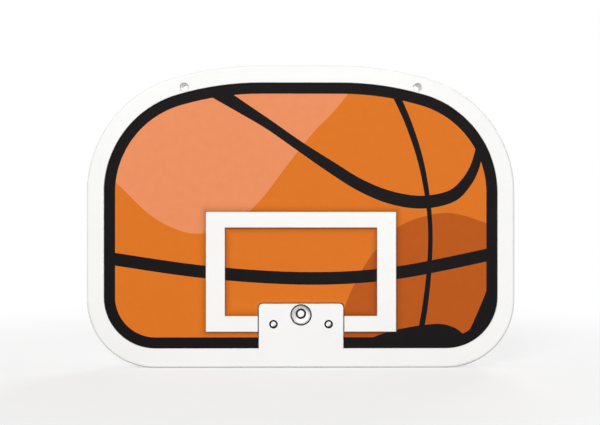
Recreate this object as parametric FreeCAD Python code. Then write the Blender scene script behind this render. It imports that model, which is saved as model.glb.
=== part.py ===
import FreeCAD, Part
import math
import os

# Basketball backboard: a printed rebound panel held between a white front frame and a rear cover.
# Millimetres. X runs to the right seen from the front, Y from the front to the wall, Z up.
# The origin is midway between the two hanging holes, on the plane of the back.

# Board outline
board_width = 450.0
board_height = 318.0
board_depth = 22.0
bottom_corner_radius = 72.0
top_corner_radius = 125.0
shoulder_radius = 330.0
shoulder_angle = 16.5

# Front frame
border_width = 18.0
border_foot = 20.5
border_thickness = 2.5
side_wall = 3.0
front_edge_radius = 2.5
window_edge_radius = 0.5
rear_edge_radius = 0.6

# Hanging holes
hanging_spacing = 245.0
hanging_drop = 23.0
hanging_bore = 7.4
hanging_mouth = 9.6
hanging_mouth_depth = 5.0
hanging_tube_wall = 1.2

# Rim pad, with heights above the bottom edge
pad_width = 89.0
pad_height = 67.5
pad_corner_radius = 4.0
pad_box_foot = 20.0
pad_skin = 5.0
pad_wall = 3.0
pad_rib = 2.0
pad_gap = 1.0

# Rim bolts and their bushes
rim_bolt_spacing = 58.0
rim_bolt_height = 46.0
rim_bolt_bore = 5.4
rim_bush_diameter = 9.0
rim_bush_length = 6.0
rim_boss_wall = 2.5

# Round socket at the top of the pad
socket_height = 55.8
socket_bore = 19.2
socket_wall = 2.5
socket_floor = 2.5
socket_ring_bore = 19.6
socket_ring_diameter = 22.4
socket_ring_depth = 2.2
socket_ring_proud = 0.2
centre_bore = 7.0
centre_flange_diameter = 11.0
centre_flange_thickness = 1.2
centre_barrel_diameter = 9.0

# Printed film and rebound panel
label_thickness = 0.3
label_margin = 0.5
panel_thickness = 6.0
panel_clearance = 0.6

# Raised target square, with its foot above the bottom edge
target_width = 200.0
target_height = 126.0
target_foot = 38.0
target_side_bar = 20.0
target_cross_bar = 16.5
target_thickness = 3.0
target_edge_radius = 0.6
peg_diameter = 4.0
peg_tail = 1.6
peg_from_pad = 9.0
push_nut_diameter = 10.0
push_nut_thickness = 0.8

# Rear cover
cover_thickness = 2.5
cover_lip = 1.4
cover_gap = 0.3
field_inset = 24.0
field_depth = 1.2
rib_thickness = 1.8
rib_gap = 0.2
rib_columns = (65.0, 140.0)
rib_rows = (110.0, 200.0, 265.0)
service_width = 70.0
service_height = 34.0
service_foot = 33.0
service_corner_radius = 6.0

# Screws of the rear cover
cover_boss_inset = 9.0
cover_boss_radius = 4.0
cover_well_radius = 4.2
cover_well_wall = 1.3
cover_well_depth = 5.0
cover_well_floor = 2.0
cover_screw_head_radius = 3.2
cover_screw_head_height = 2.2
cover_screw_shank_radius = 1.5
cover_screw_length = 10.0
cover_screw_from_pad = 55.0
cover_screw_top_angle = 40.0
cover_screw_low_angle = 45.0

# Steel plate behind the pad and its screws
plate_thickness = 2.0
plate_gap = 0.3
plate_margin = 1.5
plate_screw_inset = 6.5
plate_screw_head_radius = 2.7
plate_screw_head_height = 1.3
plate_screw_shank_radius = 1.4
plate_screw_length = 8.0
plate_boss_radius = 3.6

# Cross recess in the screw heads
recess_width = 0.9
recess_length = 3.4
recess_depth = 1.1

# Rubber pads between the back and the wall, placed from the board outline at its corners
wall_pad_radius = 11.0
wall_pad_proud = 4.0
wall_pad_edge_radius = 1.2
wall_pad_pocket = 0.8
wall_pad_stem_radius = 2.5
wall_pad_bulb_radius = 3.1
wall_pad_bulb_length = 3.0
wall_pad_inset = 48.0
wall_pad_top_angle = 34.0
wall_pad_low_angle = 45.0

# Clearances
press_clearance = 0.05
loose_clearance = 0.3

V = FreeCAD.Vector

# Planes along Y
front_plane = -board_depth
window_floor = front_plane + border_thickness
panel_front = window_floor + label_thickness
panel_back = panel_front + panel_thickness
field_plane = -field_depth
field_inner = -(cover_thickness + field_depth)
plate_back = field_inner - plate_gap
plate_front = plate_back - plate_thickness
socket_seat = plate_front - socket_floor
cover_boss_seat = -(cover_well_depth + cover_well_floor)

# Levels along Z
top_level = hanging_drop
bottom_level = top_level - board_height
pad_top = bottom_level + pad_height
rim_bolt_level = bottom_level + rim_bolt_height
socket_level = bottom_level + socket_height
target_bottom = bottom_level + target_foot
target_top = target_bottom + target_height

# Sizes along X, and sizes shared by mating pieces
pad_half = pad_width / 2
hanging_half = hanging_spacing / 2
hanging_tube_radius = hanging_bore / 2 + hanging_tube_wall
rim_bolt_half = rim_bolt_spacing / 2
panel_inset = cover_boss_inset + cover_boss_radius + panel_clearance


def around(centre, radius, angle):
    """Point in the XZ plane at a radius from a centre, in degrees from +X towards +Z."""
    turn = math.radians(angle)
    return centre + V(radius * math.cos(turn), 0, radius * math.sin(turn))


def arc(centre, radius, start, end):
    points = [around(centre, radius, angle) for angle in (start, (start + end) / 2, end)]
    return Part.Arc(*points).toShape()


def line(start, end):
    return Part.LineSegment(start, end).toShape()


def arc_centres():
    """Centres of the right-hand shoulder, top corner and bottom corner arcs."""
    half = board_width / 2
    lean = math.radians(shoulder_angle)
    reach = shoulder_radius - top_corner_radius
    corner_x = half - top_corner_radius
    shoulder = V(corner_x - reach * math.sin(lean), 0, top_level - shoulder_radius)
    top_corner = V(corner_x, 0, shoulder.z + reach * math.cos(lean))
    bottom_corner = V(half - bottom_corner_radius, 0, bottom_level + bottom_corner_radius)
    return shoulder, top_corner, bottom_corner


def outline(inset, foot):
    """Closed board outline, moved inwards by inset, with its base at foot above the bottom edge."""
    shoulder, top_corner, bottom_corner = arc_centres()
    blend = 90 - shoulder_angle
    side = board_width / 2 - inset
    low_radius = bottom_corner_radius - inset
    base_level = bottom_level + foot
    low_corner = V(bottom_corner.x, 0, base_level + low_radius)
    right = [
        arc(shoulder, shoulder_radius - inset, 90, blend),
        arc(top_corner, top_corner_radius - inset, blend, 0),
        line(V(side, 0, top_corner.z), V(side, 0, low_corner.z)),
        arc(low_corner, low_radius, 0, -90),
    ]
    left = [edge.mirror(V(0, 0, 0), V(1, 0, 0)) for edge in right]
    top = line(V(-shoulder.x, 0, top_level - inset), V(shoulder.x, 0, top_level - inset))
    base = line(V(-low_corner.x, 0, base_level), V(low_corner.x, 0, base_level))
    return Part.Wire(Part.__sortEdges__([top, base] + right + left))


def prism(wire, y_front, y_back):
    """Solid between two planes across Y, from a wire drawn in the XZ plane."""
    face = Part.Face(wire)
    face.translate(V(0, y_front, 0))
    return face.extrude(V(0, y_back - y_front, 0))


def board_prism(inset, y_front, y_back):
    """Board outline, moved inwards evenly, as a solid between two planes."""
    return prism(outline(inset, inset), y_front, y_back)


def rod(x, z, radius, y_front, y_back):
    return Part.makeCylinder(radius, y_back - y_front, V(x, y_front, z), V(0, 1, 0))


def cone(x, z, y_front, front_radius, y_back, back_radius):
    return Part.makeCone(front_radius, back_radius, y_back - y_front, V(x, y_front, z), V(0, 1, 0))


def block(x_low, x_high, y_low, y_high, z_low, z_high):
    return Part.makeBox(x_high - x_low, y_high - y_low, z_high - z_low, V(x_low, y_low, z_low))


def rounded_rectangle(x_half, z_low, z_high, radius):
    """Closed rectangle centred on X = 0, with all four corners rounded."""
    x = x_half - radius
    low = z_low + radius
    high = z_high - radius
    edges = [
        arc(V(x, 0, high), radius, 90, 0),
        line(V(x_half, 0, high), V(x_half, 0, low)),
        arc(V(x, 0, low), radius, 0, -90),
        line(V(x, 0, z_low), V(-x, 0, z_low)),
        arc(V(-x, 0, low), radius, -90, -180),
        line(V(-x_half, 0, low), V(-x_half, 0, high)),
        arc(V(-x, 0, high), radius, 180, 90),
        line(V(-x, 0, z_high), V(x, 0, z_high)),
    ]
    return Part.Wire(edges)


def pad_prism(margin, foot, y_front, y_back):
    """Rim pad with rounded upper corners, grown by margin, down to the level foot."""
    half = pad_half + margin
    top = pad_top + margin
    radius = pad_corner_radius + margin
    x = half - radius
    edges = [
        line(V(-half, 0, foot), V(-half, 0, top - radius)),
        arc(V(-x, 0, top - radius), radius, 180, 90),
        line(V(-x, 0, top), V(x, 0, top)),
        arc(V(x, 0, top - radius), radius, 90, 0),
        line(V(half, 0, top - radius), V(half, 0, foot)),
        line(V(half, 0, foot), V(-half, 0, foot)),
    ]
    return prism(Part.Wire(edges), y_front, y_back)


def one_solid(shape):
    """The single solid of a finished shape, with merged faces."""
    solids = shape.removeSplitter().Solids
    if len(solids) != 1:
        raise ValueError("expected one solid, found %d" % len(solids))
    return solids[0]


def mirrored_places(places):
    return [V(sign * place.x, 0, place.z) for place in places for sign in (-1, 1)]


def hanging_places():
    return mirrored_places([V(hanging_half, 0, 0)])


def cover_screw_places():
    """One screw at the top, then pairs down each side and along the bottom."""
    _, top_corner, bottom_corner = arc_centres()
    inset = cover_boss_inset
    pairs = [
        around(top_corner, top_corner_radius - inset, cover_screw_top_angle),
        V(board_width / 2 - inset, 0, (top_corner.z + bottom_corner.z) / 2),
        around(bottom_corner, bottom_corner_radius - inset, -cover_screw_low_angle),
        V(pad_half + cover_screw_from_pad, 0, bottom_level + inset),
    ]
    return [V(0, 0, top_level - inset)] + mirrored_places(pairs)


def plate_screw_places():
    x = pad_half - plate_screw_inset
    low = bottom_level + pad_box_foot + plate_screw_inset
    high = pad_top - plate_screw_inset
    return mirrored_places([V(x, 0, low), V(x, 0, high)])


def peg_places():
    """Pegs of the target square: upper corners, mid top, lower corners and beside the pad."""
    side = target_width / 2 - target_side_bar / 2
    high = target_top - target_cross_bar / 2
    low = target_bottom + target_cross_bar / 2
    inner = pad_half + pad_gap + peg_from_pad
    pairs = [V(side, 0, high), V(side, 0, low), V(inner, 0, low)]
    return [V(0, 0, high)] + mirrored_places(pairs)


def wall_pad_places():
    _, top_corner, bottom_corner = arc_centres()
    top = around(top_corner, top_corner_radius - wall_pad_inset, wall_pad_top_angle)
    low = around(bottom_corner, bottom_corner_radius - wall_pad_inset, -wall_pad_low_angle)
    low_left, low_right, top_left, top_right = mirrored_places([low, top])
    return {
        "wall_pad_low_left": low_left,
        "wall_pad_low_right": low_right,
        "wall_pad_top_left": top_left,
        "wall_pad_top_right": top_right,
    }


def frame_shell():
    """Border, side wall and the front skin of the pad, before the bosses."""
    body = board_prism(0, front_plane, 0)
    front = [edge for edge in body.Edges if edge.BoundBox.YMax < front_plane + press_clearance]
    body = body.makeFillet(front_edge_radius, front)
    rear = [edge for edge in body.Edges if edge.BoundBox.YMin > -press_clearance]
    body = body.makeFillet(rear_edge_radius, rear)
    body = body.cut(board_prism(side_wall, window_floor, 0))
    body = body.cut(board_prism(cover_lip, -cover_thickness, 0))
    window = prism(outline(border_width, border_foot), front_plane, window_floor)
    window = window.cut(pad_prism(0, bottom_level, front_plane, window_floor))
    body = body.cut(window)
    mouth = [
        edge
        for edge in body.Edges
        if edge.BoundBox.YMax < front_plane + press_clearance
        and window.distToShape(Part.Vertex(edge.CenterOfMass))[0] < window_edge_radius
    ]
    return body.makeFillet(window_edge_radius, mouth)


def pad_box():
    """Box behind the pad, with the bosses of the rim bolts, the socket and the plate screws."""
    foot = bottom_level + pad_box_foot
    skin = front_plane + pad_skin
    hull = pad_prism(0, foot, window_floor, plate_front)
    box = hull.cut(pad_prism(-pad_wall, foot + pad_wall, skin, plate_front))
    inner_half = pad_half - pad_wall
    rib_half = pad_rib / 2
    bosses = [
        rod(0, socket_level, socket_bore / 2 + socket_wall, skin, plate_front),
        block(-inner_half, inner_half, skin, plate_front, rim_bolt_level - rib_half, rim_bolt_level + rib_half),
        block(-rib_half, rib_half, skin, plate_front, foot + rib_half, socket_level),
    ]
    for sign in (-1, 1):
        boss_radius = rim_bush_diameter / 2 + rim_boss_wall
        bosses.append(rod(sign * rim_bolt_half, rim_bolt_level, boss_radius, skin, plate_front))
    for place in plate_screw_places():
        bosses.append(rod(place.x, place.z, plate_boss_radius, skin, plate_front))
    return box.multiFuse([boss.common(hull) for boss in bosses])


def frame_holes():
    """Everything drilled or moulded through the front frame."""
    holes = []
    neck = front_plane + hanging_mouth_depth
    for place in hanging_places():
        holes.append(rod(place.x, place.z, hanging_bore / 2, front_plane, 0))
        holes.append(cone(place.x, place.z, front_plane, hanging_mouth / 2, neck, hanging_bore / 2))
    for place in cover_screw_places():
        radius = cover_screw_shank_radius + press_clearance
        tip = -cover_well_depth - cover_screw_length - loose_clearance
        holes.append(rod(place.x, place.z, radius, tip, cover_boss_seat))
    for sign in (-1, 1):
        x = sign * rim_bolt_half
        seat = front_plane + rim_bush_length
        holes.append(rod(x, rim_bolt_level, rim_bush_diameter / 2 + press_clearance, front_plane, seat))
        holes.append(rod(x, rim_bolt_level, rim_bolt_bore / 2 + loose_clearance, seat, plate_front))
    holes.append(rod(0, socket_level, socket_bore / 2, front_plane, socket_seat))
    groove = front_plane + socket_ring_depth
    holes.append(rod(0, socket_level, socket_ring_diameter / 2 + press_clearance, front_plane, groove))
    flange = centre_flange_diameter / 2 + press_clearance
    flange_seat = socket_seat + centre_flange_thickness
    holes.append(rod(0, socket_level, flange, socket_seat, flange_seat))
    barrel = centre_barrel_diameter / 2 + press_clearance
    holes.append(rod(0, socket_level, barrel, flange_seat, plate_front))
    for place in plate_screw_places():
        radius = plate_screw_shank_radius + press_clearance
        tip = plate_back - plate_screw_length - loose_clearance
        holes.append(rod(place.x, place.z, radius, tip, plate_front))
    return holes


def front_frame():
    pieces = [pad_box()]
    for place in cover_screw_places():
        pieces.append(rod(place.x, place.z, cover_boss_radius, window_floor, cover_boss_seat))
    for place in hanging_places():
        pieces.append(rod(place.x, place.z, hanging_tube_radius, window_floor, 0))
    body = frame_shell().multiFuse(pieces)
    return one_solid(body.cut(Part.makeCompound(frame_holes())))


def panel_sheet(inset, y_front, y_back):
    """Sheet behind the window, notched round the pad, the hanging tubes and the pegs."""
    sheet = board_prism(inset, y_front, y_back)
    cuts = [pad_prism(pad_gap, bottom_level, y_front, y_back)]
    for place in hanging_places():
        cuts.append(rod(place.x, place.z, hanging_tube_radius + loose_clearance, y_front, y_back))
    for place in peg_places():
        cuts.append(rod(place.x, place.z, peg_diameter / 2 + press_clearance, y_front, y_back))
    return one_solid(sheet.cut(Part.makeCompound(cuts)))


def face_panel():
    return panel_sheet(panel_inset, panel_front, panel_back)


def face_label():
    return panel_sheet(panel_inset + label_margin, window_floor, panel_front)


def target_frame():
    """Raised square: a bar all round, cut open at the pad, with pegs through the panel."""
    face = window_floor - target_thickness
    half = target_width / 2
    inner = half - target_side_bar
    bars = block(-half, half, face, window_floor, target_bottom, target_top)
    inner_low = target_bottom + target_cross_bar
    inner_high = target_top - target_cross_bar
    bars = bars.cut(block(-inner, inner, face, window_floor, inner_low, inner_high))
    bars = bars.cut(pad_prism(pad_gap, bottom_level, face, window_floor))
    edges = [edge for edge in bars.Edges if edge.BoundBox.YMax < face + press_clearance]
    bars = bars.makeFillet(target_edge_radius, edges)
    pegs = [rod(p.x, p.z, peg_diameter / 2, window_floor, panel_back + peg_tail) for p in peg_places()]
    return one_solid(bars.multiFuse(pegs))


def frame_push_nuts():
    nuts = []
    for place in peg_places():
        back = panel_back + push_nut_thickness
        disc = rod(place.x, place.z, push_nut_diameter / 2, panel_back, back)
        nuts.append(disc.cut(rod(place.x, place.z, peg_diameter / 2 + press_clearance, panel_back, back)))
    return Part.makeCompound(nuts)


def cover_ribs():
    """Ribs that press the panel forwards, kept clear of the pad box, push nuts and wall pads."""
    front = panel_back + rib_gap
    half = rib_thickness / 2
    side = board_width / 2
    ribs = []
    for x in rib_columns:
        for sign in (-1, 1):
            ribs.append(block(sign * x - half, sign * x + half, front, field_inner, bottom_level, top_level))
    for height in rib_rows:
        level = bottom_level + height
        ribs.append(block(-side, side, front, field_inner, level - half, level + half))
    grid = ribs[0].multiFuse(ribs[1:]).common(board_prism(field_inset, front, field_inner))
    keep_out = [pad_prism(pad_gap, bottom_level, front, field_inner)]
    for place in peg_places():
        keep_out.append(rod(place.x, place.z, push_nut_diameter / 2 + loose_clearance, front, field_inner))
    for place in wall_pad_places().values():
        keep_out.append(rod(place.x, place.z, wall_pad_bulb_radius + loose_clearance, front, field_inner))
    return grid.cut(Part.makeCompound(keep_out))


def rear_cover():
    plate = board_prism(cover_lip + cover_gap, -cover_thickness, 0)
    plate = plate.fuse(board_prism(field_inset - cover_thickness, field_inner, -cover_thickness))
    plate = plate.cut(board_prism(field_inset, field_plane, 0))
    wells = []
    cuts = []
    for place in cover_screw_places():
        outer = cover_well_radius + cover_well_wall
        shank = cover_screw_shank_radius + loose_clearance
        wells.append(rod(place.x, place.z, outer, cover_boss_seat, -cover_thickness))
        cuts.append(rod(place.x, place.z, cover_well_radius, -cover_well_depth, 0))
        cuts.append(rod(place.x, place.z, shank, cover_boss_seat, -cover_well_depth))
    for place in hanging_places():
        cuts.append(rod(place.x, place.z, hanging_tube_radius + loose_clearance, -cover_thickness, 0))
    for place in wall_pad_places().values():
        floor = field_plane - wall_pad_pocket
        cuts.append(rod(place.x, place.z, wall_pad_radius + press_clearance, floor, field_plane))
        cuts.append(rod(place.x, place.z, wall_pad_stem_radius + press_clearance, field_inner, floor))
    service_low = bottom_level + service_foot
    service = rounded_rectangle(
        service_width / 2, service_low, service_low + service_height, service_corner_radius
    )
    cuts.append(prism(service, field_inner, field_plane))
    plate = plate.multiFuse(wells + [cover_ribs()])
    return one_solid(plate.cut(Part.makeCompound(cuts)))


def cross_recess(x, z, back):
    """Cross-shaped cut in the back of a screw head."""
    width = recess_width / 2
    length = recess_length / 2
    front = back - recess_depth
    flat = block(x - length, x + length, front, back, z - width, z + width)
    return flat.fuse(block(x - width, x + width, front, back, z - length, z + length))


def cover_screw(place):
    """Pan-head screw, driven from the back into a boss of the front frame."""
    seat = -cover_well_depth
    back = seat + cover_screw_head_height
    head = rod(place.x, place.z, cover_screw_head_radius, seat, back)
    rim = [edge for edge in head.Edges if edge.BoundBox.YMin > back - press_clearance]
    head = head.makeFillet(cover_screw_head_height / 2, rim)
    tip = seat - cover_screw_length
    shank = rod(place.x, place.z, cover_screw_shank_radius, tip, seat)
    return one_solid(head.fuse(shank).cut(cross_recess(place.x, place.z, back)))


def plate_screw_head(place, margin):
    """Countersunk head, grown by margin for its seat in the plate."""
    front = plate_back - plate_screw_head_height
    front_radius = plate_screw_shank_radius + margin
    return cone(place.x, place.z, front, front_radius, plate_back, plate_screw_head_radius + margin)


def plate_screw(place):
    shank = rod(place.x, place.z, plate_screw_shank_radius, plate_back - plate_screw_length, plate_back)
    screw = shank.fuse(plate_screw_head(place, 0))
    return one_solid(screw.cut(cross_recess(place.x, place.z, plate_back)))


def mount_plate():
    half = pad_half - plate_margin
    low = bottom_level + pad_box_foot + plate_margin
    plate = prism(rounded_rectangle(half, low, pad_top - plate_margin, pad_corner_radius), plate_front, plate_back)
    barrel = centre_barrel_diameter / 2 + press_clearance
    cuts = [rod(0, socket_level, barrel, plate_front, plate_back)]
    for sign in (-1, 1):
        radius = rim_bolt_bore / 2 + loose_clearance
        cuts.append(rod(sign * rim_bolt_half, rim_bolt_level, radius, plate_front, plate_back))
    for place in plate_screw_places():
        radius = plate_screw_shank_radius + press_clearance
        cuts.append(rod(place.x, place.z, radius, plate_front, plate_back))
        cuts.append(plate_screw_head(place, press_clearance))
    return one_solid(plate.cut(Part.makeCompound(cuts)))


def rim_bush(x):
    seat = front_plane + rim_bush_length
    bush = rod(x, rim_bolt_level, rim_bush_diameter / 2, front_plane, seat)
    return one_solid(bush.cut(rod(x, rim_bolt_level, rim_bolt_bore / 2, front_plane, seat)))


def socket_ring():
    front = front_plane - socket_ring_proud
    back = front_plane + socket_ring_depth
    ring = rod(0, socket_level, socket_ring_diameter / 2, front, back)
    return one_solid(ring.cut(rod(0, socket_level, socket_ring_bore / 2, front, back)))


def centre_bush():
    """Bush with its flange let into the socket floor and its barrel through the floor and the plate."""
    flange_seat = socket_seat + centre_flange_thickness
    flange = rod(0, socket_level, centre_flange_diameter / 2, socket_seat, flange_seat)
    barrel = rod(0, socket_level, centre_barrel_diameter / 2, flange_seat, plate_back)
    bore = rod(0, socket_level, centre_bore / 2, socket_seat, plate_back)
    return one_solid(flange.fuse(barrel).cut(bore))


def wall_pad(place):
    """Rubber pad in its pocket, with a push-in stem and bulb through the cover."""
    seat = field_plane - wall_pad_pocket
    pad = rod(place.x, place.z, wall_pad_radius, seat, wall_pad_proud)
    rim = [edge for edge in pad.Edges if edge.BoundBox.YMin > wall_pad_proud - press_clearance]
    pad = pad.makeFillet(wall_pad_edge_radius, rim)
    stem = rod(place.x, place.z, wall_pad_stem_radius, field_inner, seat)
    tip = field_inner - wall_pad_bulb_length
    bulb = cone(place.x, place.z, tip, wall_pad_stem_radius, field_inner, wall_pad_bulb_radius)
    return one_solid(pad.multiFuse([stem, bulb]))


def parts():
    pieces = {
        "front_frame": front_frame(),
        "face_panel": face_panel(),
        "face_label": face_label(),
        "target_frame": target_frame(),
        "frame_push_nuts": frame_push_nuts(),
        "rear_cover": rear_cover(),
        "cover_screws": Part.makeCompound([cover_screw(place) for place in cover_screw_places()]),
        "mount_plate": mount_plate(),
        "mount_plate_screws": Part.makeCompound([plate_screw(place) for place in plate_screw_places()]),
        "rim_bush_left": rim_bush(-rim_bolt_half),
        "rim_bush_right": rim_bush(rim_bolt_half),
        "socket_ring": socket_ring(),
        "centre_bush": centre_bush(),
    }
    for name, place in wall_pad_places().items():
        pieces[name] = wall_pad(place)
    return pieces


os.makedirs("parts", exist_ok=True)
for name, shape in parts().items():
    shape.exportStep(os.path.join("parts", name + ".step"))
    print("%-20s solids %2d  volume %9.0f mm3" % (name, len(shape.Solids), shape.Volume))
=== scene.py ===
import math

import bpy
import numpy as np
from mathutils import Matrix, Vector
from mathutils.geometry import delaunay_2d_cdt


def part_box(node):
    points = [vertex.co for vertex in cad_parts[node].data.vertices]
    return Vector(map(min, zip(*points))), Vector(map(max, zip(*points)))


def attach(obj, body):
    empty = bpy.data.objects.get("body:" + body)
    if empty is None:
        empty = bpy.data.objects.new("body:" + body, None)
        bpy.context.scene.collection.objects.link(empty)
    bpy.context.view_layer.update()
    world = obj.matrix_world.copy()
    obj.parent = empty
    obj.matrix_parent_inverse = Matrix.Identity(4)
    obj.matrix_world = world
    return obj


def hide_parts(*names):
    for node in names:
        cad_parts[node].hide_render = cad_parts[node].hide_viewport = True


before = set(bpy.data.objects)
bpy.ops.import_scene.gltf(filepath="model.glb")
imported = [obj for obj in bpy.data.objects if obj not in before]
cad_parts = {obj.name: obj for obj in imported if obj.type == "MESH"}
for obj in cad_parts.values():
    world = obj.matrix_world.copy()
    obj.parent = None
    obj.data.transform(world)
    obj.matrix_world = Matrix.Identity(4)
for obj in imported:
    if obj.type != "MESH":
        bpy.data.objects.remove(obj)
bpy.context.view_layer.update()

# Basketball backboard: a white moulded frame round a printed face, with a raised target square and a rim pad.
# Metres, in the part's frame: X to the right seen from the front, Y from the front to the wall, Z up.
MM = 0.001

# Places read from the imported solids
board_low, board_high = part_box("front_frame")
film_low, film_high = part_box("face_label")
square_low, square_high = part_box("target_frame")
screws_low, screws_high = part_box("cover_screws")
bottom_edge = board_low.z
board_height = board_high.z - board_low.z
half_width = board_high.x

# Sizes of the solids that the printed film follows, in mm and degrees
bottom_corner_radius = 72.0
top_corner_radius = 125.0
shoulder_radius = 330.0
shoulder_angle = 16.5
border_width = 18.0
border_foot = 20.5
pad_width = 89.0
pad_height = 67.5
pad_gap = 1.0
pad_corner_radius = 4.0
target_side_bar = 20.0
target_cross_bar = 16.5
peg_hole_radius = 2.05
peg_from_pad = 9.0
hanging_notch_radius = 5.2
hanging_half = 122.5

# Places of the screws of the rear cover, in mm and degrees
cover_boss_inset = 9.0
cover_screw_top_angle = 40.0
cover_screw_low_angle = 45.0
cover_screw_from_pad = 55.0

# Cover screw, in mm. Its slots differ in depth, because cuts with floors in one plane leave stray faces.
screw_sizes = {
    "Head radius": 3.2,
    "Head height": 2.2,
    "Crown": 1.1,
    "Recess length": 3.4,
    "Recess width": 0.9,
    "First slot height": 2.2,
    "Second slot height": 2.0,
    "Shank radius": 1.5,
}

# Rubber wall pad, in mm
wall_pads = ["wall_pad_low_left", "wall_pad_low_right", "wall_pad_top_left", "wall_pad_top_right"]
wall_pad_sizes = {
    "Radius": 11.0,
    "Flat radius": 9.8,
    "Edge drop": 1.2,
    "Groove half pitch": 1.5,
    "Groove half width": 0.8,
    "Groove depth": 0.6,
    "Stem radius": 2.5,
    "Stem length": 1.7,
    "Bulb radius": 3.1,
    "Bulb length": 3.0,
}

# Edges of the screws and wall pads that turn by more than this are sharp, in degrees
sharp_angle = 35.0

# Printed ball, in mm from the board's middle and above its bottom edge. A seam's third value is its width.
outline_band = 11.5
equator_seam = [
    (-210, 116.5, 13.3), (-98.5, 100.5, 13.3), (10, 94, 13.3), (101.5, 100, 13.3), (210, 121.5, 13.3),
]
side_seam = [
    (-105.5, 301, 17), (-65, 275.5, 12.7), (-33.5, 255.6, 10.2), (-2, 233.6, 10.2), (30, 212.3, 12),
    (61.6, 192.7, 12.6), (93.4, 179.5, 13.5), (126.7, 174.3, 13.6), (157, 180, 13), (173, 193.5, 11.5),
    (183.8, 213, 9.5), (189.5, 240, 6.5),
]
meridian_seam = [
    (95, 298, 8), (114, 255.5, 7), (127.7, 211, 6), (135.5, 160, 4.8), (135.8, 115, 4.9), (131.2, 67.5, 5.7),
    (123.3, 22, 6.5),
]
low_seam_edge = [(56, 17), (74.3, 31), (102.5, 40.3), (142, 46), (161, 42.3), (172, 34.5)]
corner_seam_edge = [(166.7, 30), (171.7, 34.5), (178.3, 41), (184.4, 54), (192.5, 73), (206.7, 111)]
highlight_edge = [
    (-225, 222), (-190, 190.5), (-159, 161), (-128, 144.5), (-101.5, 141.5), (-73.7, 150), (-43, 176.2),
    (-10.7, 218.3), (15, 250), (35.6, 271), (60, 302),
]
shade_edge = [
    (225, 139), (193.5, 153), (160, 162.5), (133, 160), (101.5, 147.5), (73.3, 117), (52, 79), (41, 45),
    (34, 8),
]

# Corners outside the film that close each patch of ink, in the same mm
low_seam_corners = [(173, -30), (60, -30)]
corner_seam_corners = [(260, 110), (260, -30), (168, -30)]
highlight_corners = [(62, 340), (-260, 340), (-260, 228)]
shade_corners = [(36, -30), (260, -30), (260, 139)]

# Places of the inks in the film's list of materials
ORANGE, PALE_ORANGE, DEEP_ORANGE, BLACK = range(4)

# Points of the print closer together than this become one, in mm
print_tolerance = 1e-4

# Painted shade round the target square, deepening the shadow of its raised bars: its strength at the bars,
# its reach in mm and its fall-off
painted_shade_strength = 0.55
painted_shade_reach = 14
painted_shade_power = 4.0

# Studio, in metres and watts
floor_half_size = 12.0
floor_fade_start = 0.3
floor_fade_end = 0.9
floor_white_near = 0.7
floor_white_far = 1.0
ambient_strength = 0.22
softboxes = {
    "key_softbox": {"place": (-1.1, -3.8, 1.75), "size": 1.5, "watts": 103.0},
    "overhead_softbox": {"place": (-0.2, -0.4, 2.2), "size": 1.4, "watts": 3.0},
    "front_fill_softbox": {"place": (0.4, -3.0, -0.1), "size": 0.6, "watts": 34.0},
    "back_softbox": {"place": (1.0, 2.8, 1.0), "size": 1.5, "watts": 76.0},
}

# Numbers of the colour sockets of a Mix node, and of the decimal sockets of a Random Value node
MIX_A, MIX_B, MIX_RESULT = 6, 7, 2
RANDOM_LEAST, RANDOM_MOST, RANDOM_RESULT = 2, 3, 1


def linear(code):
    """Linear colour of an sRGB hex code."""
    channels = [int(code[i:i + 2], 16) / 255 for i in (1, 3, 5)]
    return (*(c / 12.92 if c <= 0.04045 else ((c + 0.055) / 1.055) ** 2.4 for c in channels), 1.0)


def per_metre(size_mm):
    """Texture scale at which one feature is about this many millimetres wide."""
    return 1 / (size_mm * MM)


def add_node(tree, kind, inputs=None, **settings):
    """Adds a node with its settings, and sets or links its inputs; a list feeds one input several links."""
    node = tree.nodes.new(kind)
    for name, value in settings.items():
        setattr(node, name, value)
    for key, value in (inputs or {}).items():
        for source in value if isinstance(value, list) else [value]:
            if isinstance(source, bpy.types.NodeSocket):
                tree.links.new(source, node.inputs[key])
            else:
                node.inputs[key].default_value = source
    return node


def new_material(name):
    """New material with an empty tree; returns it, its tree and the object's coordinates."""
    material = bpy.data.materials.new(name)
    material.use_nodes = True
    tree = material.node_tree
    tree.nodes.clear()
    return material, tree, add_node(tree, "ShaderNodeTexCoord").outputs["Object"]


def moulded_white_abs(name, grain_size, grain_depth):
    """White ABS from a spark-eroded mould: an even near-white with a fine grain and a soft sheen."""
    material, tree, place = new_material(name)
    # Flow of the melt, 70 mm across
    flow = add_node(tree, "ShaderNodeTexNoise", {"Vector": place, "Scale": per_metre(70), "Detail": 2.0})
    white = add_node(tree, "ShaderNodeMix", {
        "Factor": flow.outputs["Fac"],
        MIX_A: linear("#F2F2F0"),
        MIX_B: linear("#F8F8F6"),
    }, data_type="RGBA")
    # Uneven sheen, 6 mm across
    sheen = add_node(tree, "ShaderNodeTexNoise", {"Vector": place, "Scale": per_metre(6), "Detail": 3.0})
    rough = add_node(tree, "ShaderNodeMapRange", {
        "Value": sheen.outputs["Fac"],
        "To Min": 0.4,
        "To Max": 0.52,
    })
    # A real spark grain is about 0.1 mm, drawn coarser so that it shows in a close view
    grain = add_node(tree, "ShaderNodeTexNoise", {
        "Vector": place,
        "Scale": per_metre(grain_size),
        "Detail": 1.0,
    })
    bump = add_node(tree, "ShaderNodeBump", {
        "Height": grain.outputs["Fac"],
        "Strength": 0.5,
        "Distance": grain_depth * MM,
    })
    shader = add_node(tree, "ShaderNodeBsdfPrincipled", {
        "Base Color": white.outputs[MIX_RESULT],
        "Roughness": rough.outputs["Result"],
        "Normal": bump.outputs["Normal"],
        "IOR": 1.53,
        "Specular IOR Level": 0.4,
    })
    add_node(tree, "ShaderNodeOutputMaterial", {"Surface": shader.outputs["BSDF"]})
    return material


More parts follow.
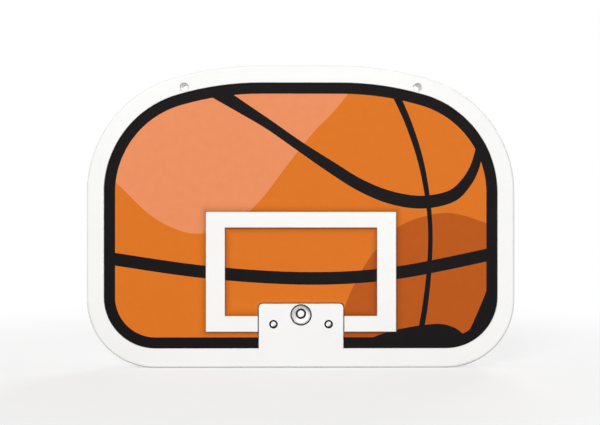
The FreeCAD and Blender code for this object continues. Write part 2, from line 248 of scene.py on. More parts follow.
def painted_square_shade(tree, place):
    """Painted shade round and inside the target square, deepening the shadow of its raised bars; full at the
    bars and gone a little way off.
    """
    middle = (square_low + square_high) / 2
    half = (square_high - square_low) / 2
    outer = (half.x, 0, half.z)
    # The opening's depth is no limit here, so its half size along Y is one metre
    inner = (half.x - target_side_bar * MM, 1.0, half.z - target_cross_bar * MM)
    centred = add_node(tree, "ShaderNodeVectorMath", {0: place, 1: middle}, operation="SUBTRACT")
    flat = add_node(tree, "ShaderNodeVectorMath", {0: centred.outputs[0], 1: (1, 0, 1)}, operation="MULTIPLY")
    sides = add_node(tree, "ShaderNodeVectorMath", {0: flat.outputs[0]}, operation="ABSOLUTE")
    past = add_node(tree, "ShaderNodeVectorMath", {0: sides.outputs[0], 1: outer}, operation="SUBTRACT")
    outside = add_node(tree, "ShaderNodeVectorMath", {0: past.outputs[0], 1: (0, 0, 0)}, operation="MAXIMUM")
    far = add_node(tree, "ShaderNodeVectorMath", {0: outside.outputs[0]}, operation="LENGTH")
    within = add_node(tree, "ShaderNodeVectorMath", {0: inner, 1: sides.outputs[0]}, operation="SUBTRACT")
    split = add_node(tree, "ShaderNodeSeparateXYZ", {0: within.outputs[0]})
    deep = add_node(tree, "ShaderNodeMath", {
        0: split.outputs["X"],
        1: split.outputs["Z"],
    }, operation="MINIMUM")
    away = add_node(tree, "ShaderNodeMath", {
        0: far.outputs["Value"],
        1: deep.outputs[0],
    }, operation="MAXIMUM")
    near = add_node(tree, "ShaderNodeMapRange", {
        "Value": away.outputs[0],
        "From Min": 0.0,
        "From Max": painted_shade_reach * MM,
        "To Min": 1.0,
        "To Max": 0.0,
    })
    fade = add_node(tree, "ShaderNodeMath", {
        0: near.outputs["Result"],
        1: painted_shade_power,
    }, operation="POWER")
    shade = add_node(tree, "ShaderNodeMath", {
        0: fade.outputs[0],
        1: painted_shade_strength,
    }, operation="MULTIPLY")
    return shade.outputs[0]


def printed_vinyl(name, ink, deep):
    """Ink on vinyl film: flat colour with a slight mottle of density and a satin, faintly rippled skin, with
    painted shade round the target square.
    """
    material, tree, place = new_material(name)
    # Mottle of the ink, 9 mm across
    mottle = add_node(tree, "ShaderNodeTexNoise", {"Vector": place, "Scale": per_metre(9), "Detail": 4.0})
    inked = add_node(tree, "ShaderNodeMix", {
        "Factor": mottle.outputs["Fac"],
        MIX_A: linear(deep),
        MIX_B: linear(ink),
    }, data_type="RGBA")
    # Painted shade: the ink darkens towards a deep brown near the bars of the target square
    painted_shade_mix = add_node(tree, "ShaderNodeMix", {
        "Factor": painted_square_shade(tree, place),
        MIX_A: inked.outputs[MIX_RESULT],
        MIX_B: linear("#2A1408"),
    }, data_type="RGBA")
    # Smears of gloss, 25 mm across
    smear = add_node(tree, "ShaderNodeTexNoise", {"Vector": place, "Scale": per_metre(25), "Detail": 3.0})
    rough = add_node(tree, "ShaderNodeMapRange", {
        "Value": smear.outputs["Fac"],
        "To Min": 0.42,
        "To Max": 0.55,
    })
    # Ripples of the film over the hardboard, 4 mm across
    ripple = add_node(tree, "ShaderNodeTexNoise", {"Vector": place, "Scale": per_metre(4), "Detail": 2.0})
    bump = add_node(tree, "ShaderNodeBump", {
        "Height": ripple.outputs["Fac"],
        "Strength": 0.4,
        "Distance": 0.03 * MM,
    })
    shader = add_node(tree, "ShaderNodeBsdfPrincipled", {
        "Base Color": painted_shade_mix.outputs[MIX_RESULT],
        "Roughness": rough.outputs["Result"],
        "Normal": bump.outputs["Normal"],
        "IOR": 1.5,
        "Specular IOR Level": 0.05,
    })
    add_node(tree, "ShaderNodeOutputMaterial", {"Surface": shader.outputs["BSDF"]})
    return material


def black_oxide_steel():
    """Blackened steel: a dark metal with a low gloss and patches where the oxide is thicker."""
    material, tree, place = new_material("black_oxide_steel")
    # Patches of oxide, 2 mm across
    patch = add_node(tree, "ShaderNodeTexNoise", {"Vector": place, "Scale": per_metre(2), "Detail": 4.0})
    oxide = add_node(tree, "ShaderNodeMix", {
        "Factor": patch.outputs["Fac"],
        MIX_A: linear("#111112"),
        MIX_B: linear("#222224"),
    }, data_type="RGBA")
    rough = add_node(tree, "ShaderNodeMapRange", {
        "Value": patch.outputs["Fac"],
        "To Min": 0.34,
        "To Max": 0.5,
    })
    # Turning marks round the bores are about 0.1 mm, drawn at 0.4 mm
    marks = add_node(tree, "ShaderNodeTexNoise", {"Vector": place, "Scale": per_metre(0.4), "Detail": 2.0})
    bump = add_node(tree, "ShaderNodeBump", {
        "Height": marks.outputs["Fac"],
        "Strength": 0.3,
        "Distance": 0.02 * MM,
    })
    shader = add_node(tree, "ShaderNodeBsdfPrincipled", {
        "Base Color": oxide.outputs[MIX_RESULT],
        "Metallic": 1.0,
        "Roughness": rough.outputs["Result"],
        "Normal": bump.outputs["Normal"],
    })
    add_node(tree, "ShaderNodeOutputMaterial", {"Surface": shader.outputs["BSDF"]})
    return material


def zinc_plated_steel():
    """Bright zinc on steel: pale, slightly cloudy metal with cool and faintly yellow tints."""
    material, tree, place = new_material("zinc_plated_steel")
    # Clouds of tint, 4 mm across
    cloud = add_node(tree, "ShaderNodeTexNoise", {"Vector": place, "Scale": per_metre(4), "Detail": 5.0})
    zinc = add_node(tree, "ShaderNodeMix", {
        "Factor": cloud.outputs["Fac"],
        MIX_A: linear("#A9AEB2"),
        MIX_B: linear("#C9C6BA"),
    }, data_type="RGBA")
    rough = add_node(tree, "ShaderNodeMapRange", {
        "Value": cloud.outputs["Fac"],
        "To Min": 0.26,
        "To Max": 0.42,
    })
    # Zinc crystals are about 0.2 mm, drawn at 0.8 mm
    crystals = add_node(tree, "ShaderNodeTexVoronoi", {"Vector": place, "Scale": per_metre(0.8)})
    bump = add_node(tree, "ShaderNodeBump", {
        "Height": crystals.outputs["Distance"],
        "Strength": 0.3,
        "Distance": 0.02 * MM,
    })
    shader = add_node(tree, "ShaderNodeBsdfPrincipled", {
        "Base Color": zinc.outputs[MIX_RESULT],
        "Metallic": 1.0,
        "Roughness": rough.outputs["Result"],
        "Normal": bump.outputs["Normal"],
    })
    add_node(tree, "ShaderNodeOutputMaterial", {"Surface": shader.outputs["BSDF"]})
    return material


def nitrile_rubber():
    """Moulded black rubber: dull, with a dusty bloom and a fine grain."""
    material, tree, place = new_material("nitrile_rubber")
    # Bloom on the skin, 3 mm across
    bloom = add_node(tree, "ShaderNodeTexNoise", {"Vector": place, "Scale": per_metre(3), "Detail": 5.0})
    black = add_node(tree, "ShaderNodeMix", {
        "Factor": bloom.outputs["Fac"],
        MIX_A: linear("#131314"),
        MIX_B: linear("#232222"),
    }, data_type="RGBA")
    rough = add_node(tree, "ShaderNodeMapRange", {
        "Value": bloom.outputs["Fac"],
        "To Min": 0.62,
        "To Max": 0.8,
    })
    # Grain of the mould, 0.5 mm across
    grain = add_node(tree, "ShaderNodeTexNoise", {"Vector": place, "Scale": per_metre(0.5), "Detail": 2.0})
    bump = add_node(tree, "ShaderNodeBump", {
        "Height": grain.outputs["Fac"],
        "Strength": 0.5,
        "Distance": 0.04 * MM,
    })
    shader = add_node(tree, "ShaderNodeBsdfPrincipled", {
        "Base Color": black.outputs[MIX_RESULT],
        "Roughness": rough.outputs["Result"],
        "Normal": bump.outputs["Normal"],
        "IOR": 1.52,
        "Specular IOR Level": 0.35,
    })
    add_node(tree, "ShaderNodeOutputMaterial", {"Surface": shader.outputs["BSDF"]})
    return material


def pressed_hardboard():
    """Wood fibre pressed to a dense brown board, with short fibres lying flat in the sheet."""
    material, tree, place = new_material("pressed_hardboard")
    # Fibres 3 mm across in the sheet, and a sixth of that through its thickness
    flat = add_node(tree, "ShaderNodeMapping", {"Vector": place, "Scale": (1.0, 6.0, 1.0)})
    fibre = add_node(tree, "ShaderNodeTexNoise", {
        "Vector": flat.outputs[0],
        "Scale": per_metre(3),
        "Detail": 6.0,
    })
    brown = add_node(tree, "ShaderNodeMix", {
        "Factor": fibre.outputs["Fac"],
        MIX_A: linear("#4A3422"),
        MIX_B: linear("#7D5B3C"),
    }, data_type="RGBA")
    rough = add_node(tree, "ShaderNodeMapRange", {
        "Value": fibre.outputs["Fac"],
        "To Min": 0.6,
        "To Max": 0.8,
    })
    bump = add_node(tree, "ShaderNodeBump", {
        "Height": fibre.outputs["Fac"],
        "Strength": 0.4,
        "Distance": 0.1 * MM,
    })
    shader = add_node(tree, "ShaderNodeBsdfPrincipled", {
        "Base Color": brown.outputs[MIX_RESULT],
        "Roughness": rough.outputs["Result"],
        "Normal": bump.outputs["Normal"],
        "IOR": 1.5,
        "Specular IOR Level": 0.3,
    })
    add_node(tree, "ShaderNodeOutputMaterial", {"Surface": shader.outputs["BSDF"]})
    return material


def around(centre, radius, angle):
    """Point on a circle, in degrees from +X towards +Z."""
    turn = math.radians(angle)
    return centre[0] + radius * math.cos(turn), centre[1] + radius * math.sin(turn)


def arc(centre, radius, start, end):
    """Points of an arc, about every 2 degrees."""
    count = max(2, round(abs(end - start) / 2))
    return [around(centre, radius, angle) for angle in np.linspace(start, end, count + 1)]


def circle(centre, radius):
    """Points of a full circle, without its repeated last point."""
    return arc(centre, radius, 0, 360)[:-1]


def mirrored(places):
    """Places on the right, and the same on the left."""
    return [(sign * x, z) for x, z in places for sign in (-1, 1)]


def corner_centres():
    """Centres of the right-hand shoulder, top corner and bottom corner arcs, in mm."""
    lean = math.radians(shoulder_angle)
    reach = shoulder_radius - top_corner_radius
    corner_x = half_width / MM - top_corner_radius
    shoulder = (corner_x - reach * math.sin(lean), board_height / MM - shoulder_radius)
    top_corner = (corner_x, shoulder[1] + reach * math.cos(lean))
    return shoulder, top_corner, (half_width / MM - bottom_corner_radius, bottom_corner_radius)


def board_outline(inset, foot):
    """Closed board outline in mm, moved inwards by inset, with its base at foot above the bottom edge."""
    shoulder, top_corner, bottom_corner = corner_centres()
    blend = 90 - shoulder_angle
    low_radius = bottom_corner_radius - inset
    right = arc(shoulder, shoulder_radius - inset, 90, blend)
    right += arc(top_corner, top_corner_radius - inset, blend, 0)[1:]
    right += arc((bottom_corner[0], foot + low_radius), low_radius, 0, -90)
    return right + [(-x, z) for x, z in reversed(right)]


def pad_notch():
    """Notch of the film round the rim pad, open at the bottom."""
    half = pad_width / 2 + pad_gap
    top = pad_height + pad_gap
    radius = pad_corner_radius + pad_gap
    right = arc((half - radius, top - radius), radius, 90, 0) + [(half, 0)]
    return right + [(-x, z) for x, z in reversed(right)]


def film_holes():
    """Holes of the film: the pegs of the target square and the tubes of the hanging holes."""
    low = (square_low.z - bottom_edge) / MM + target_cross_bar / 2
    high = (square_high.z - bottom_edge) / MM - target_cross_bar / 2
    side = square_high.x / MM - target_side_bar / 2
    inner = pad_width / 2 + pad_gap + peg_from_pad
    pegs = [(0, high)] + mirrored([(side, high), (side, low), (inner, low)])
    tubes = mirrored([(hanging_half, -bottom_edge / MM)])
    holes = [circle(peg, peg_hole_radius) for peg in pegs]
    return holes + [circle(tube, hanging_notch_radius) for tube in tubes]


def smooth_path(points, steps=10):
    """Smooth (Catmull-Rom) curve through points, each with any number of values."""
    knots = np.array([points[0]] + list(points) + [points[-1]], float)
    path = []
    for a, b, c, d in zip(knots, knots[1:], knots[2:], knots[3:]):
        for t in np.arange(steps) / steps:
            path.append(b + 0.5 * t * (c - a + t * (2 * a - 5 * b + 4 * c - d + t * (3 * (b - c) + d - a))))
    return np.array(path + [knots[-1]])


def seam_shape(points):
    """Closed outline of a printed seam from the points of its middle line and its width at each."""
    path = smooth_path(points)
    along = np.gradient(path[:, :2], axis=0)
    along /= np.linalg.norm(along, axis=1)[:, None]
    across = np.stack([-along[:, 1], along[:, 0]], axis=1) * path[:, 2:] / 2
    return [tuple(p) for p in path[:, :2] + across] + [tuple(p) for p in (path[:, :2] - across)[::-1]]


def patch_shape(edge, corners):
    """Closed outline of a patch of ink: its smooth edge, then corners outside the film."""
    return [tuple(p) for p in smooth_path(edge)] + corners


def inside(loop, points):
    """Which points lie inside a closed loop, by its winding."""
    turns = np.zeros(len(points), int)
    x, z = points[:, 0], points[:, 1]
    for (x0, z0), (x1, z1) in zip(loop, loop[1:] + loop[:1]):
        left = (x1 - x0) * (z - z0) - (x - x0) * (z1 - z0) > 0
        turns += ((z0 <= z) & (z1 > z) & left).astype(int)
        turns -= ((z0 > z) & (z1 <= z) & ~left).astype(int)
    return turns != 0


def as_plain_mesh(source, name):
    """Turns an object with modifiers into a plain mesh object, and removes the source."""
    seen = bpy.context.evaluated_depsgraph_get()
    mesh = bpy.data.meshes.new_from_object(source.evaluated_get(seen), depsgraph=seen)
    mesh.name = name
    bpy.data.objects.remove(source)
    made = bpy.data.objects.new(name, mesh)
    bpy.context.scene.collection.objects.link(made)
    return made


def printed_face(inks):
    """The film as one sheet, divided along every edge of the print, so that each ink has faces of its own."""
    film_inset = (board_high.x - film_high.x) / MM
    film_edge = board_outline(film_inset, film_inset)
    band_edge = board_outline(border_width + outline_band, border_foot + outline_band)
    cuts = [pad_notch()] + film_holes()
    seams = [seam_shape(points) for points in (equator_seam, side_seam, meridian_seam)]
    seams.append(patch_shape(low_seam_edge, low_seam_corners))
    seams.append(patch_shape(corner_seam_edge, corner_seam_corners))
    highlight = patch_shape(highlight_edge, highlight_corners)
    shade = patch_shape(shade_edge, shade_corners)
    corners, edges = [], []
    for loop in [film_edge, band_edge, highlight, shade] + cuts + seams:
        first = len(corners)
        corners += [Vector(point) for point in loop]
        edges += [(first + i, first + (i + 1) % len(loop)) for i in range(len(loop))]
    points, _, triangles, *_ = delaunay_2d_cdt(corners, edges, [], 0, print_tolerance)
    flat = np.array(points)
    middles = flat[np.array(triangles)].mean(axis=1)
    kept = inside(film_edge, middles)
    for cut in cuts:
        kept &= ~inside(cut, middles)
    ink = np.full(len(middles), ORANGE)
    ink[inside(highlight, middles)] = PALE_ORANGE
    ink[inside(shade, middles)] = DEEP_ORANGE
    ink[~inside(band_edge, middles)] = BLACK
    for seam in seams:
        ink[inside(seam, middles)] = BLACK
    used = sorted({corner for face, keep in zip(triangles, kept) if keep for corner in face})
    index = {corner: i for i, corner in enumerate(used)}
    mesh = bpy.data.meshes.new("printed_face_sheet")
    mesh.from_pydata(
        [(flat[c][0] * MM, film_low.y, bottom_edge + flat[c][1] * MM) for c in used],
        [],
        [[index[c] for c in face] for face, keep in zip(triangles, kept) if keep],
    )
    for material in inks:
        mesh.materials.append(material)
    mesh.polygons.foreach_set("material_index", ink[kept].astype(np.int32))
    sheet = bpy.data.objects.new("printed_face_sheet", mesh)
    bpy.context.scene.collection.objects.link(sheet)
    wall = sheet.modifiers.new("thickness", "SOLIDIFY")
    wall.thickness = film_high.y - film_low.y
    wall.offset = -1.0
    return as_plain_mesh(sheet, "printed_face")


def begin_tree(name, sizes):
    """New geometry tree with a named input for each size and for the finish; returns it and those inputs."""
    tree = bpy.data.node_groups.new(name, "GeometryNodeTree")
    tree.interface.new_socket("Places", in_out="INPUT", socket_type="NodeSocketGeometry")
    for size in sizes:
        tree.interface.new_socket(size, in_out="INPUT", socket_type="NodeSocketFloat")
    tree.interface.new_socket("Finish", in_out="INPUT", socket_type="NodeSocketMaterial")
    tree.interface.new_socket("Pieces", in_out="OUTPUT", socket_type="NodeSocketGeometry")
    return tree, add_node(tree, "NodeGroupInput").outputs


def distance_from_axis(tree):
    """How far a point lies from the Z axis."""
    place = add_node(tree, "GeometryNodeInputPosition")
    flat = add_node(tree, "ShaderNodeVectorMath", {0: place.outputs[0], 1: (1, 1, 0)}, operation="MULTIPLY")
    return add_node(tree, "ShaderNodeVectorMath", {0: flat.outputs[0]}, operation="LENGTH").outputs["Value"]


def sunk_top(tree, disc, drop):
    """A disc whose top face is lowered by the drop at each of its points."""
    sink = add_node(tree, "ShaderNodeVectorMath", {0: (0, 0, -1), "Scale": drop}, operation="SCALE")
    return add_node(tree, "GeometryNodeSetPosition", {
        "Geometry": disc.outputs["Mesh"],
        "Selection": disc.outputs["Top"],
        "Offset": sink.outputs[0],
    })


def end_tree(tree, given, shape, spin):
    """Turns the shape's Z axis to the back, sets a real copy at each place and gives it the finish."""
    turned = add_node(tree, "GeometryNodeTransform", {"Geometry": shape, "Rotation": (-math.pi / 2, 0, 0)})
    copies = add_node(tree, "GeometryNodeInstanceOnPoints", {
        "Points": given["Places"],
        "Instance": turned.outputs["Geometry"],
        "Rotation": spin,
    })
    real = add_node(tree, "GeometryNodeRealizeInstances", {"Geometry": copies.outputs["Instances"]})
    finished = add_node(tree, "GeometryNodeSetMaterial", {
        "Geometry": real.outputs["Geometry"],
        "Material": given["Finish"],
    })
    add_node(tree, "NodeGroupOutput", {"Pieces": finished.outputs["Geometry"]})


def cover_screw_tree(sizes):
    """Pan-head screws: a crowned head with a cross recess on a plain shank, each turned by chance."""
    tree, given = begin_tree("cover_screw", sizes)
    disc = add_node(tree, "GeometryNodeMeshCylinder", {
        "Vertices": 44,
        "Fill Segments": 8,
        "Radius": given["Head radius"],
        "Depth": given["Head height"],
    }, fill_type="TRIANGLE_FAN")
    reach = distance_from_axis(tree)
    share = add_node(tree, "ShaderNodeMath", {0: reach, 1: given["Head radius"]}, operation="DIVIDE")
    # The fourth power keeps the crown flat in the middle and round at the rim
    round_off = add_node(tree, "ShaderNodeMath", {0: share.outputs[0], 1: 4.0}, operation="POWER")
    drop = add_node(tree, "ShaderNodeMath", {
        0: round_off.outputs[0],
        1: given["Crown"],
    }, operation="MULTIPLY")
    crowned = sunk_top(tree, disc, drop.outputs[0])
    head_top = add_node(tree, "ShaderNodeMath", {0: given["Head height"], 1: 0.5}, operation="MULTIPLY")
    lift = add_node(tree, "ShaderNodeCombineXYZ", {"Z": head_top.outputs[0]})
    slots = []
    first_slot = ("Recess length", "Recess width", "First slot height")
    second_slot = ("Recess width", "Recess length", "Second slot height")
    for along, across, upright in (first_slot, second_slot):
        size = add_node(tree, "ShaderNodeCombineXYZ", {
            "X": given[along],
            "Y": given[across],
            "Z": given[upright],
        })
        bar = add_node(tree, "GeometryNodeMeshCube", {"Size": size.outputs[0]})
        slot = add_node(tree, "GeometryNodeTransform", {
            "Geometry": bar.outputs["Mesh"],
            "Translation": lift.outputs[0],
        })
        slots.append(slot.outputs["Geometry"])
    head = add_node(tree, "GeometryNodeMeshBoolean", {
        "Mesh 1": crowned.outputs["Geometry"],
        "Mesh 2": slots,
    }, operation="DIFFERENCE")
    shank = add_node(tree, "GeometryNodeMeshCylinder", {
        "Vertices": 24,
        "Radius": given["Shank radius"],
        "Depth": given["Shank length"],
    })
    length = add_node(tree, "ShaderNodeMath", {
        0: given["Head height"],
        1: given["Shank length"],
    }, operation="ADD")
    below = add_node(tree, "ShaderNodeVectorMath", {
        0: (0, 0, -0.5),
        "Scale": length.outputs[0],
    }, operation="SCALE")
    hung = add_node(tree, "GeometryNodeTransform", {
        "Geometry": shank.outputs["Mesh"],
        "Translation": below.outputs[0],
    })
    screw = add_node(tree, "GeometryNodeJoinGeometry", {
        "Geometry": [head.outputs["Mesh"], hung.outputs["Geometry"]],
    })
    chance = add_node(tree, "FunctionNodeRandomValue", {
        RANDOM_LEAST: 0.0,
        RANDOM_MOST: math.pi / 2,
        "Seed": 4,
    }, data_type="FLOAT")
    spin = add_node(tree, "ShaderNodeCombineXYZ", {"Y": chance.outputs[RANDOM_RESULT]})
    end_tree(tree, given, screw.outputs["Geometry"], spin.outputs[0])
    return tree


def wall_pad_tree(sizes):
    """Rubber pads: a disc with a rounded rim and ring grooves in its face, on a push-in stem with a bulb."""
    tree, given = begin_tree("wall_pad", sizes)
    disc = add_node(tree, "GeometryNodeMeshCylinder", {
        "Vertices": 64,
        "Fill Segments": 44,
        "Radius": given["Radius"],
        "Depth": given["Height"],
    }, fill_type="TRIANGLE_FAN")
    reach = distance_from_axis(tree)
    wave = add_node(tree, "ShaderNodeMath", {0: reach, 1: given["Groove half pitch"]}, operation="PINGPONG")
    groove = add_node(tree, "ShaderNodeMapRange", {
        "Value": wave.outputs[0],
        "From Min": 0.0,
        "From Max": given["Groove half width"],
        "To Min": given["Groove depth"],
        "To Max": 0.0,
    }, interpolation_type="SMOOTHSTEP")
    rim = add_node(tree, "ShaderNodeMapRange", {
        "Value": reach,
        "From Min": given["Flat radius"],
        "From Max": given["Radius"],
    })
    # The square makes the rim leave the flat face smoothly
    round_off = add_node(tree, "ShaderNodeMath", {0: rim.outputs["Result"], 1: 2.0}, operation="POWER")
    edge = add_node(tree, "ShaderNodeMath", {
        0: round_off.outputs[0],
        1: given["Edge drop"],
    }, operation="MULTIPLY")
    drop = add_node(tree, "ShaderNodeMath", {
        0: groove.outputs["Result"],
        1: edge.outputs[0],
    }, operation="MAXIMUM")
    grooved = sunk_top(tree, disc, drop.outputs[0])
    stem = add_node(tree, "GeometryNodeMeshCylinder", {
        "Vertices": 24,
        "Radius": given["Stem radius"],
        "Depth": given["Stem length"],
    })
    to_stem = add_node(tree, "ShaderNodeMath", {0: given["Height"], 1: given["Stem length"]}, operation="ADD")
    stem_place = add_node(tree, "ShaderNodeVectorMath", {
        0: (0, 0, -0.5),
        "Scale": to_stem.outputs[0],
    }, operation="SCALE")
    stem_set = add_node(tree, "GeometryNodeTransform", {
        "Geometry": stem.outputs["Mesh"],
        "Translation": stem_place.outputs[0],
    })
    bulb = add_node(tree, "GeometryNodeMeshCone", {
        "Vertices": 24,
        "Radius Top": given["Bulb radius"],
        "Radius Bottom": given["Stem radius"],
        "Depth": given["Bulb length"],
    })
    past_stem = add_node(tree, "ShaderNodeMath", {
        0: given["Stem length"],
        1: given["Bulb length"],
    }, operation="ADD")
    half_height = add_node(tree, "ShaderNodeMath", {0: given["Height"], 1: 0.5}, operation="MULTIPLY")
    to_bulb = add_node(tree, "ShaderNodeMath", {
        0: half_height.outputs[0],
        1: past_stem.outputs[0],
    }, operation="ADD")
    bulb_place = add_node(tree, "ShaderNodeVectorMath", {
        0: (0, 0, -1),
        "Scale": to_bulb.outputs[0],
    }, operation="SCALE")
    bulb_set = add_node(tree, "GeometryNodeTransform", {
        "Geometry": bulb.outputs["Mesh"],
        "Translation": bulb_place.outputs[0],
    })
    pad = add_node(tree, "GeometryNodeJoinGeometry", {
        "Geometry": [grooved.outputs["Geometry"], stem_set.outputs["Geometry"], bulb_set.outputs["Geometry"]],
    })
    end_tree(tree, given, pad.outputs["Geometry"], (0.0, 0.0, 0.0))
    return tree


def made_at(places, name, make_tree, sizes, finish):
    """One mesh object with the tree's shape, in sizes of mm, at each of the places."""
    mesh = bpy.data.meshes.new(name + "_places")
    mesh.from_pydata(places, [], [])
    source = bpy.data.objects.new(name + "_places", mesh)
    bpy.context.scene.collection.objects.link(source)
    tree = make_tree(sizes)
    maker = source.modifiers.new("maker", "NODES")
    maker.node_group = tree
    values = {size: value * MM for size, value in sizes.items()}
    values["Finish"] = finish
    for socket in tree.interface.items_tree:
        if socket.name in values:
            maker[socket.identifier] = values[socket.name]
    made = as_plain_mesh(source, name)
    made.data.set_sharp_from_angle(angle=math.radians(sharp_angle))
    return made


def cover_screws(finish):
    """Screws of the rear cover: one at the top, then pairs down each side and along the bottom."""
    _, top_corner, bottom_corner = corner_centres()
    inset = cover_boss_inset
    pairs = [
        around(top_corner, top_corner_radius - inset, cover_screw_top_angle),
        (half_width / MM - inset, (top_corner[1] + bottom_corner[1]) / 2),
        around(bottom_corner, bottom_corner_radius - inset, -cover_screw_low_angle),
        (pad_width / 2 + cover_screw_from_pad, inset),
    ]
    head_height = screw_sizes["Head height"]
    head_middle = screws_high.y - head_height / 2 * MM
    flat_places = [(0, board_height / MM - inset)] + mirrored(pairs)
    places = [(x * MM, head_middle, bottom_edge + z * MM) for x, z in flat_places]
    shank_length = (screws_high.y - screws_low.y) / MM - head_height
    sizes = {**screw_sizes, "Shank length": shank_length}
    return made_at(places, "cross_recess_screws", cover_screw_tree, sizes, finish)


def rubber_wall_pads(finish):
    """The four pads that stand off the wall."""
    boxes = [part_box(name) for name in wall_pads]
    first_low, first_high = boxes[0]
    stem_and_bulb = wall_pad_sizes["Stem length"] + wall_pad_sizes["Bulb length"]
    height = (first_high.y - first_low.y) / MM - stem_and_bulb
    middle = height / 2 * MM
    places = [((low.x + high.x) / 2, high.y - middle, (low.z + high.z) / 2) for low, high in boxes]
    sizes = {**wall_pad_sizes, "Height": height}
    return made_at(places, "grooved_wall_pads", wall_pad_tree, sizes, finish)


def dress(material, *nodes):
    """Gives CAD nodes their finish."""
    for name in nodes:
        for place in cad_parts[name].material_slots:
            place.material = material


def stand_in(piece, slot, *nodes):
    """Shows a piece of the scene in place of CAD nodes."""
    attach(piece, "root")
    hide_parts(*nodes)


def shown_rays(tree):
    """1 for rays that show the studio, to the camera or by way of metal and glass, and 0 for others."""
    path = add_node(tree, "ShaderNodeLightPath")
    by_way = {0: path.outputs["Is Glossy Ray"], 1: path.outputs["Is Transmission Ray"]}
    reflected = add_node(tree, "ShaderNodeMath", by_way, operation="MAXIMUM")
    either = {0: path.outputs["Is Camera Ray"], 1: reflected.outputs[0]}
    return add_node(tree, "ShaderNodeMath", either, operation="MAXIMUM").outputs[0]


def pale_floor():
    """Matt white studio floor: it keeps the board's shadow and runs into the white backdrop further off."""
    material, tree, place = new_material("pale_studio_floor")
    shown = shown_rays(tree)
    # Faint unevenness of the paint, 40 mm across
    speck = add_node(tree, "ShaderNodeTexNoise", {"Vector": place, "Scale": per_metre(40), "Detail": 3.0})
    paint = add_node(tree, "ShaderNodeMix", {
        "Factor": speck.outputs["Fac"],
        MIX_A: linear("#EEEEED"),
        MIX_B: linear("#F6F6F5"),
    }, data_type="RGBA")
    # White where it is seen, but it throws less light back, so that the board's underside keeps its shade
    seen = add_node(tree, "ShaderNodeMix", {
        "Factor": shown,
        MIX_A: linear("#868685"),
        MIX_B: paint.outputs[MIX_RESULT],
    }, data_type="RGBA")
    matt = add_node(tree, "ShaderNodeBsdfDiffuse", {"Color": seen.outputs[MIX_RESULT]})
    reach = add_node(tree, "ShaderNodeVectorMath", {0: place}, operation="LENGTH")
    far = add_node(tree, "ShaderNodeMapRange", {
        "Value": reach.outputs["Value"],
        "From Min": floor_fade_start,
        "From Max": floor_fade_end,
        "To Min": floor_white_near,
        "To Max": floor_white_far,
    }, interpolation_type="SMOOTHSTEP")
    white = add_node(tree, "ShaderNodeMath", {0: far.outputs[0], 1: shown}, operation="MULTIPLY")
    glow = add_node(tree, "ShaderNodeEmission", {"Color": linear("#FFFFFF"), "Strength": 1.0})
    mix = add_node(tree, "ShaderNodeMixShader", {
        0: white.outputs[0],
        1: matt.outputs["BSDF"],
        2: glow.outputs["Emission"],
    })
    add_node(tree, "ShaderNodeOutputMaterial", {"Surface": mix.outputs[0]})
    return material


def studio_floor(half):
    """Square floor at the board's bottom edge."""
    mesh = bpy.data.meshes.new("studio_floor")
    corners = [(-half, -half, 0), (half, -half, 0), (half, half, 0), (-half, half, 0)]
    mesh.from_pydata(corners, [], [(0, 1, 2, 3)])
    mesh.materials.append(pale_floor())
    floor = bpy.data.objects.new("studio_floor", mesh)
    floor.location = (0, 0, bottom_edge)
    bpy.context.scene.collection.objects.link(floor)


def white_backdrop(ambient):
    """World that shows white behind the board and lights it more gently."""
    world = bpy.data.worlds.new("white_backdrop")
    world.use_nodes = True
    tree = world.node_tree
    tree.nodes.clear()
    soft = add_node(tree, "ShaderNodeBackground", {"Color": linear("#FFFFFF"), "Strength": ambient})
    plain = add_node(tree, "ShaderNodeBackground", {"Color": linear("#FFFFFF"), "Strength": 1.0})
    mix = add_node(tree, "ShaderNodeMixShader", {
        0: shown_rays(tree),
        1: soft.outputs["Background"],
        2: plain.outputs["Background"],
    })
    add_node(tree, "ShaderNodeOutputWorld", {"Surface": mix.outputs[0]})
    bpy.context.scene.world = world


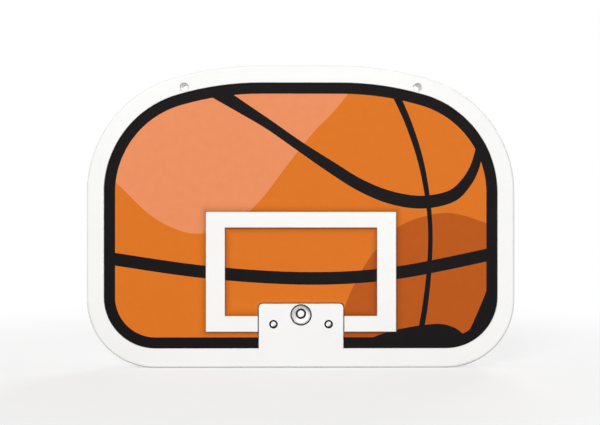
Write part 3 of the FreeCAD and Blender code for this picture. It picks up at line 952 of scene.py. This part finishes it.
def softbox(name, place, size, watts):
    """Square lamp that faces the middle of the board."""
    lamp = bpy.data.lights.new(name, "AREA")
    lamp.size = size
    lamp.energy = watts
    light = bpy.data.objects.new(name, lamp)
    light.location = place
    facing = (board_low + board_high) / 2 - Vector(place)
    light.rotation_euler = facing.to_track_quat("-Z", "Y").to_euler()
    bpy.context.scene.collection.objects.link(light)


def photo_camera():
    """Camera in front of the board, hardly turned, at the photo's distance and framing."""
    image_width = 600
    pixels_per_mm = 0.9496
    distance = 1.2
    turn = math.radians(-0.6)
    aim_x = -0.0011
    aim_z = -0.1316
    aim = Vector((aim_x, film_low.y, aim_z))
    data = bpy.data.cameras.new("photo_camera")
    data.sensor_width = 36.0
    data.lens = data.sensor_width * distance / (image_width / pixels_per_mm * MM)
    camera = bpy.data.objects.new("photo_camera", data)
    camera.location = aim + distance * Vector((math.sin(turn), -math.cos(turn), 0))
    camera.rotation_euler = (math.radians(90), 0, turn)
    bpy.context.scene.collection.objects.link(camera)
    bpy.context.scene.camera = camera


# Finishes of the CAD nodes, then the pieces that stand for some of them
rubber = nitrile_rubber()
zinc = zinc_plated_steel()
dress(moulded_white_abs("moulded_white_abs_frame", grain_size=0.6, grain_depth=0.02), "front_frame")
dress(moulded_white_abs("moulded_white_abs_square", grain_size=0.5, grain_depth=0.015), "target_frame")
dress(moulded_white_abs("moulded_white_abs_cover", grain_size=1.2, grain_depth=0.06), "rear_cover")
dress(pressed_hardboard(), "face_panel")
dress(zinc, "frame_push_nuts", "mount_plate", "mount_plate_screws")
dress(black_oxide_steel(), "rim_bush_left", "rim_bush_right", "centre_bush")
dress(rubber, "socket_ring")
stand_in(cover_screws(zinc), "plated_steel", "cover_screws")
stand_in(rubber_wall_pads(rubber), "black_rubber", *wall_pads)
inks = [
    printed_vinyl("printed_vinyl_orange", "#E37924", "#DD741F"),
    printed_vinyl("printed_vinyl_pale_orange", "#F09463", "#EA8E5D"),
    printed_vinyl("printed_vinyl_deep_orange", "#C05C19", "#B95716"),
    printed_vinyl("printed_vinyl_black", "#120E10", "#0B080A"),
]
stand_in(printed_face(inks), "printed_film", "face_label")

# Studio
studio_floor(floor_half_size)
white_backdrop(ambient_strength)
for lamp_name, lamp_values in softboxes.items():
    softbox(lamp_name, **lamp_values)
photo_camera()
bpy.context.scene.view_settings.view_transform = "Standard"
